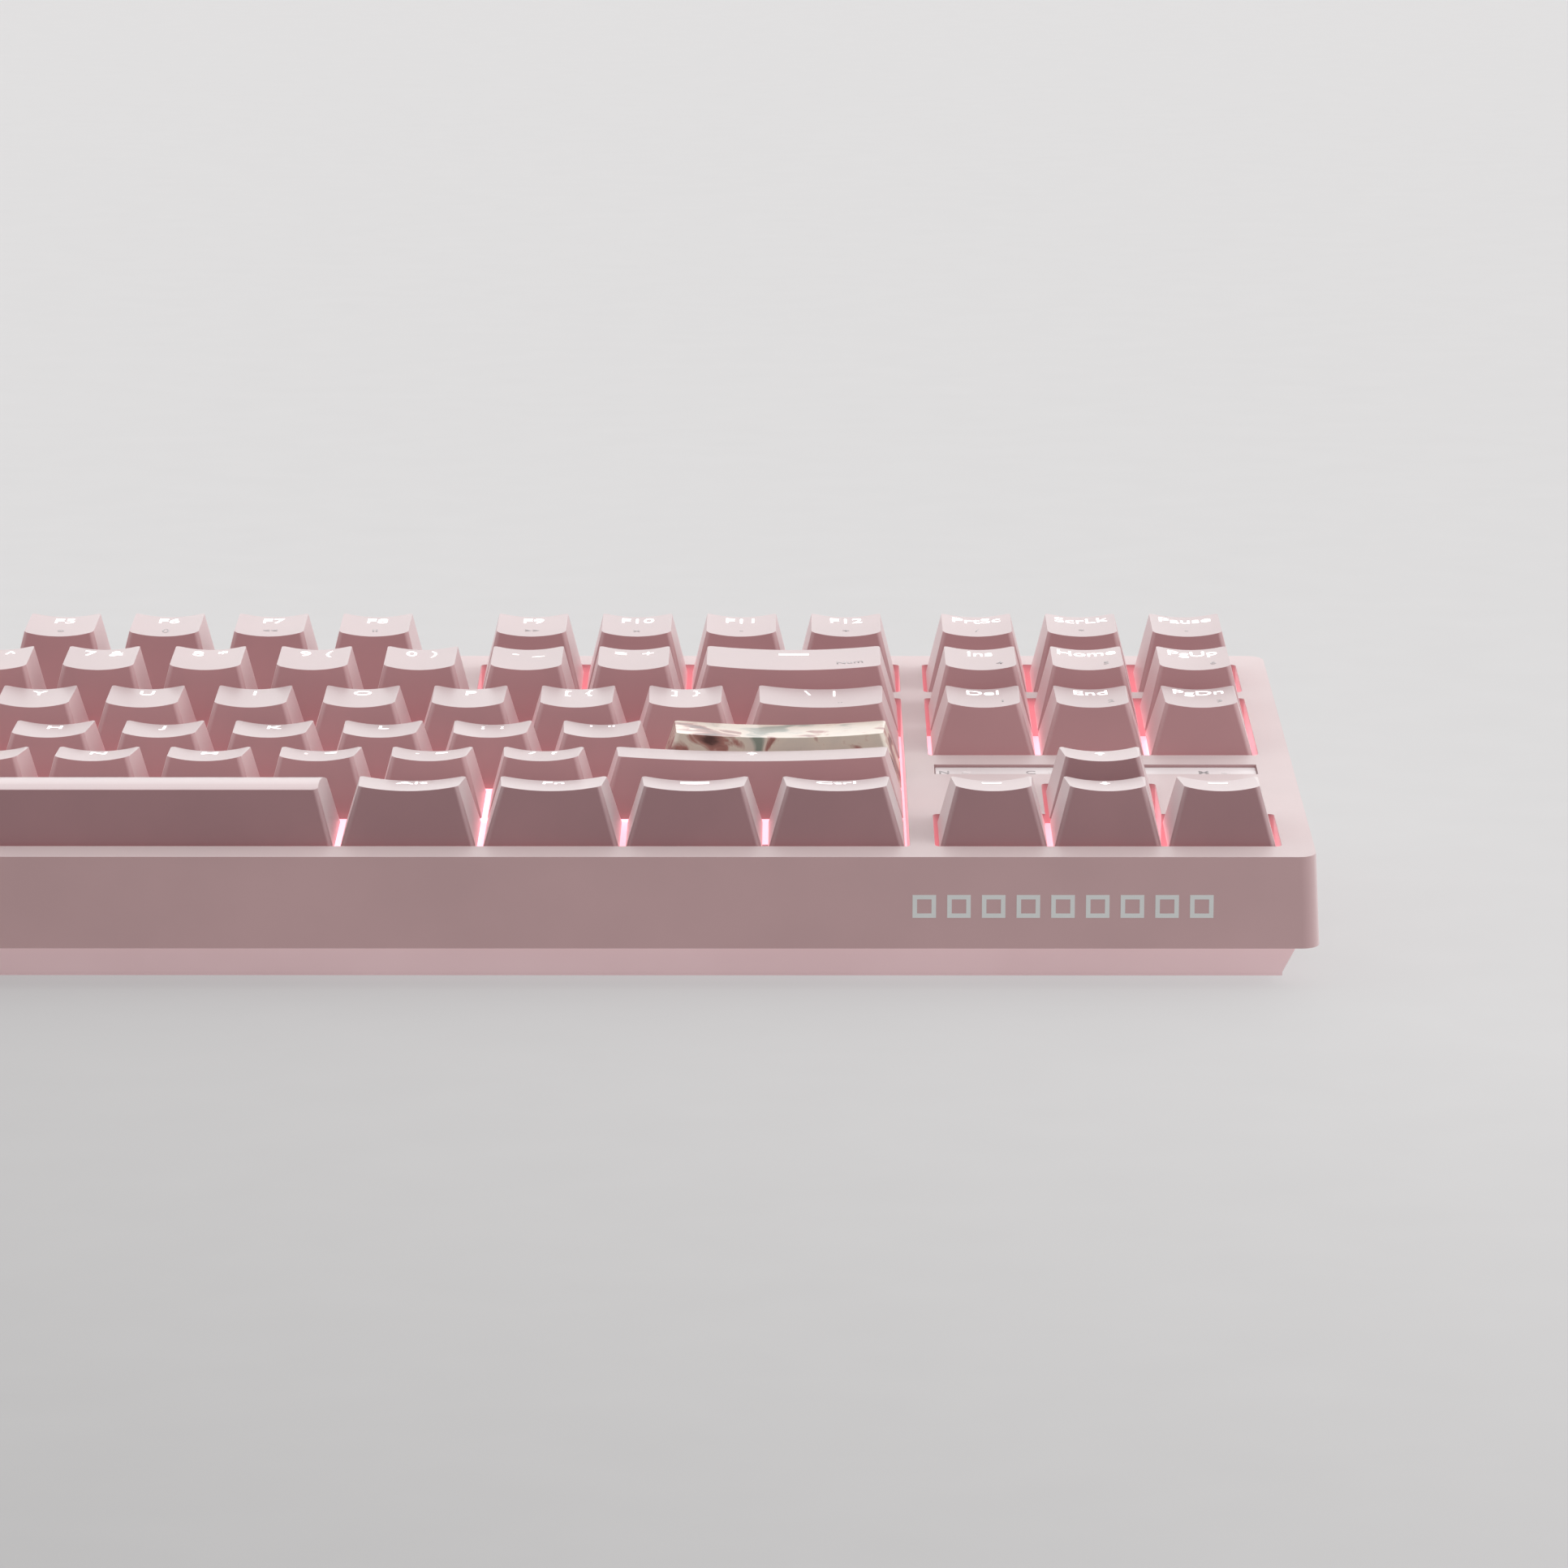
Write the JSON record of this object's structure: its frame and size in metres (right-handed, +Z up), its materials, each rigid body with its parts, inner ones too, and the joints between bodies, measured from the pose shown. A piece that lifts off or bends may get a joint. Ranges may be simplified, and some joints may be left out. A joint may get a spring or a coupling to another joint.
{
  "type": "mechanical keyboard",
  "caption": "Tenkeyless mechanical keyboard: two-piece case, switch plate, sprung keys with stabilizers, rear USB socket and flip-out feet.",
  "frame": {"origin": "centre of the case's footprint on the desk, under the rubber pads", "axes": "+X to the typist's right, +Y away from the typist, +Z up; the key deck rises 6 degrees towards +Y"},
  "size_m": [0.3606, 0.1344, 0.0457],
  "materials": {
    "case": "satin",
    "tray": "satin",
    "keycap": "satin",
    "stem": "satin",
    "housing": "gloss",
    "plate": "satin",
    "board": "satin",
    "steel": "satin",
    "led": "gloss",
    "window": "satin",
    "rubber": "matte",
    "legend": "gloss"
  },
  "bodies": {
    "case": {"top_case": "case", "bottom_case": "tray", "switch_plate": "plate", "circuit_board": "board", "controller_chips": "board", "socket_board": "board", "switch_top_housings": "housing", "switch_bottom_housings": "housing", "switch_springs": "steel", "stabilizer_housings": "housing", "backlight_leds": "led", "indicator_window": "window", "case_screws": "steel", "usb_port": "steel", "rubber_pads": "rubber"},
    "left_foot": {"left_flip_foot": "tray"},
    "right_foot": {"right_flip_foot": "tray"},
    "escape_keys": {"escape_keycap": "keycap", "escape_stem": "stem"},
    "function_keys": {"function_keycaps": "keycap", "function_stems": "stem"},
    "system_keys": {"system_keycaps": "keycap", "system_stems": "stem"},
    "number_keys": {"number_keycaps": "keycap", "number_stems": "stem"},
    "backspace_keys": {"backspace_keycap": "keycap", "backspace_stems": "stem"},
    "tab_keys": {"tab_keycap": "keycap", "tab_stem": "stem"},
    "top_letter_keys": {"top_letter_keycaps": "keycap", "top_letter_stems": "stem"},
    "backslash_keys": {"backslash_keycap": "keycap", "backslash_stem": "stem"},
    "caps_lock_keys": {"caps_lock_keycap": "keycap", "caps_lock_stem": "stem"},
    "home_letter_keys": {"home_letter_keycaps": "keycap", "home_letter_stems": "stem"},
    "enter_keys": {"enter_keycap": "keycap", "enter_stems": "stem"},
    "left_shift_keys": {"left_shift_keycap": "keycap", "left_shift_stems": "stem"},
    "bottom_letter_keys": {"bottom_letter_keycaps": "keycap", "bottom_letter_stems": "stem"},
    "right_shift_keys": {"right_shift_keycap": "keycap", "right_shift_stems": "stem"},
    "left_modifier_keys": {"left_modifier_keycaps": "keycap", "left_modifier_stems": "stem"},
    "space_bar_keys": {"space_bar_keycap": "keycap", "space_bar_stems": "stem"},
    "right_modifier_keys": {"right_modifier_keycaps": "keycap", "right_modifier_stems": "stem"},
    "navigation_keys": {"navigation_keycaps": "keycap", "navigation_stems": "stem"},
    "arrow_keys": {"arrow_keycaps": "keycap", "arrow_stems": "stem"},
    "backspace_wire": {"backspace_wire": "steel"},
    "enter_wire": {"enter_wire": "steel"},
    "left_shift_wire": {"left_shift_wire": "steel"},
    "right_shift_wire": {"right_shift_wire": "steel"},
    "space_bar_wire": {"space_bar_wire": "steel"}
  },
  "joints": [
    {"name": "escape_press", "type": "slide", "parent": "case", "child": "escape_keys", "axis": [0, 0.1045, -0.9945], "range_m": [0, 0.004], "stiffness_N_per_m": 75, "springref_m": -0.004, "deforming": ["switch_springs"]},
    {"name": "function_press", "type": "slide", "parent": "case", "child": "function_keys", "axis": [0, 0.1045, -0.9945], "range_m": [0, 0.004], "stiffness_N_per_m": 900, "springref_m": -0.004},
    {"name": "system_press", "type": "slide", "parent": "case", "child": "system_keys", "axis": [0, 0.1045, -0.9945], "range_m": [0, 0.004], "stiffness_N_per_m": 225, "springref_m": -0.004},
    {"name": "number_press", "type": "slide", "parent": "case", "child": "number_keys", "axis": [0, 0.1045, -0.9945], "range_m": [0, 0.004], "stiffness_N_per_m": 975, "springref_m": -0.004},
    {"name": "backspace_press", "type": "slide", "parent": "case", "child": "backspace_keys", "axis": [0, 0.1045, -0.9945], "range_m": [0, 0.004], "stiffness_N_per_m": 75, "springref_m": -0.004},
    {"name": "tab_press", "type": "slide", "parent": "case", "child": "tab_keys", "axis": [0, 0.1045, -0.9945], "range_m": [0, 0.004], "stiffness_N_per_m": 75, "springref_m": -0.004},
    {"name": "top_letter_press", "type": "slide", "parent": "case", "child": "top_letter_keys", "axis": [0, 0.1045, -0.9945], "range_m": [0, 0.004], "stiffness_N_per_m": 900, "springref_m": -0.004},
    {"name": "backslash_press", "type": "slide", "parent": "case", "child": "backslash_keys", "axis": [0, 0.1045, -0.9945], "range_m": [0, 0.004], "stiffness_N_per_m": 75, "springref_m": -0.004},
    {"name": "caps_lock_press", "type": "slide", "parent": "case", "child": "caps_lock_keys", "axis": [0, 0.1045, -0.9945], "range_m": [0, 0.004], "stiffness_N_per_m": 75, "springref_m": -0.004},
    {"name": "home_letter_press", "type": "slide", "parent": "case", "child": "home_letter_keys", "axis": [0, 0.1045, -0.9945], "range_m": [0, 0.004], "stiffness_N_per_m": 825, "springref_m": -0.004},
    {"name": "enter_press", "type": "slide", "parent": "case", "child": "enter_keys", "axis": [0, 0.1045, -0.9945], "range_m": [0, 0.004], "stiffness_N_per_m": 75, "springref_m": -0.004},
    {"name": "left_shift_press", "type": "slide", "parent": "case", "child": "left_shift_keys", "axis": [0, 0.1045, -0.9945], "range_m": [0, 0.004], "stiffness_N_per_m": 75, "springref_m": -0.004},
    {"name": "bottom_letter_press", "type": "slide", "parent": "case", "child": "bottom_letter_keys", "axis": [0, 0.1045, -0.9945], "range_m": [0, 0.004], "stiffness_N_per_m": 750, "springref_m": -0.004},
    {"name": "right_shift_press", "type": "slide", "parent": "case", "child": "right_shift_keys", "axis": [0, 0.1045, -0.9945], "range_m": [0, 0.004], "stiffness_N_per_m": 75, "springref_m": -0.004},
    {"name": "left_modifier_press", "type": "slide", "parent": "case", "child": "left_modifier_keys", "axis": [0, 0.1045, -0.9945], "range_m": [0, 0.004], "stiffness_N_per_m": 225, "springref_m": -0.004},
    {"name": "space_bar_press", "type": "slide", "parent": "case", "child": "space_bar_keys", "axis": [0, 0.1045, -0.9945], "range_m": [0, 0.004], "stiffness_N_per_m": 75, "springref_m": -0.004},
    {"name": "right_modifier_press", "type": "slide", "parent": "case", "child": "right_modifier_keys", "axis": [0, 0.1045, -0.9945], "range_m": [0, 0.004], "stiffness_N_per_m": 300, "springref_m": -0.004},
    {"name": "navigation_press", "type": "slide", "parent": "case", "child": "navigation_keys", "axis": [0, 0.1045, -0.9945], "range_m": [0, 0.004], "stiffness_N_per_m": 450, "springref_m": -0.004},
    {"name": "arrow_press", "type": "slide", "parent": "case", "child": "arrow_keys", "axis": [0, 0.1045, -0.9945], "range_m": [0, 0.004], "stiffness_N_per_m": 300, "springref_m": -0.004},
    {"name": "backspace_wire_turn", "type": "hinge", "parent": "case", "child": "backspace_wire", "pos_m": [0.09287, 0.01653, 0.02508], "axis": [1, 0, 0], "range_deg": [-26.27, 0]},
    {"name": "enter_wire_turn", "type": "hinge", "parent": "case", "child": "enter_wire", "pos_m": [0.09049, -0.02136, 0.0211], "axis": [1, 0, 0], "range_deg": [-26.27, 0]},
    {"name": "left_shift_wire_turn", "type": "hinge", "parent": "case", "child": "left_shift_wire", "pos_m": [-0.1524, -0.04031, 0.01911], "axis": [1, 0, 0], "range_deg": [-26.27, 0]},
    {"name": "right_shift_wire_turn", "type": "hinge", "parent": "case", "child": "right_shift_wire", "pos_m": [0.08572, -0.04031, 0.01911], "axis": [1, 0, 0], "range_deg": [-26.27, 0]},
    {"name": "space_bar_wire_turn", "type": "hinge", "parent": "case", "child": "space_bar_wire", "pos_m": [-0.04286, -0.05926, 0.01711], "axis": [1, 0, 0], "range_deg": [-26.27, 0]},
    {"name": "left_foot_flip", "type": "hinge", "parent": "case", "child": "left_foot", "pos_m": [-0.12, 0.047, 0.0039], "axis": [1, 0, 0], "range_deg": [0, 100]},
    {"name": "right_foot_flip", "type": "hinge", "parent": "case", "child": "right_foot", "pos_m": [0.12, 0.047, 0.0039], "axis": [1, 0, 0], "range_deg": [0, 100]}
  ],
  "couplings": [
    {"joint": "backspace_wire_turn", "follows": "backspace_press", "rad_per_m": -113.33},
    {"joint": "enter_wire_turn", "follows": "enter_press", "rad_per_m": -113.33},
    {"joint": "left_shift_wire_turn", "follows": "left_shift_press", "rad_per_m": -113.33},
    {"joint": "right_shift_wire_turn", "follows": "right_shift_press", "rad_per_m": -113.33},
    {"joint": "space_bar_wire_turn", "follows": "space_bar_press", "rad_per_m": -113.33}
  ]
}
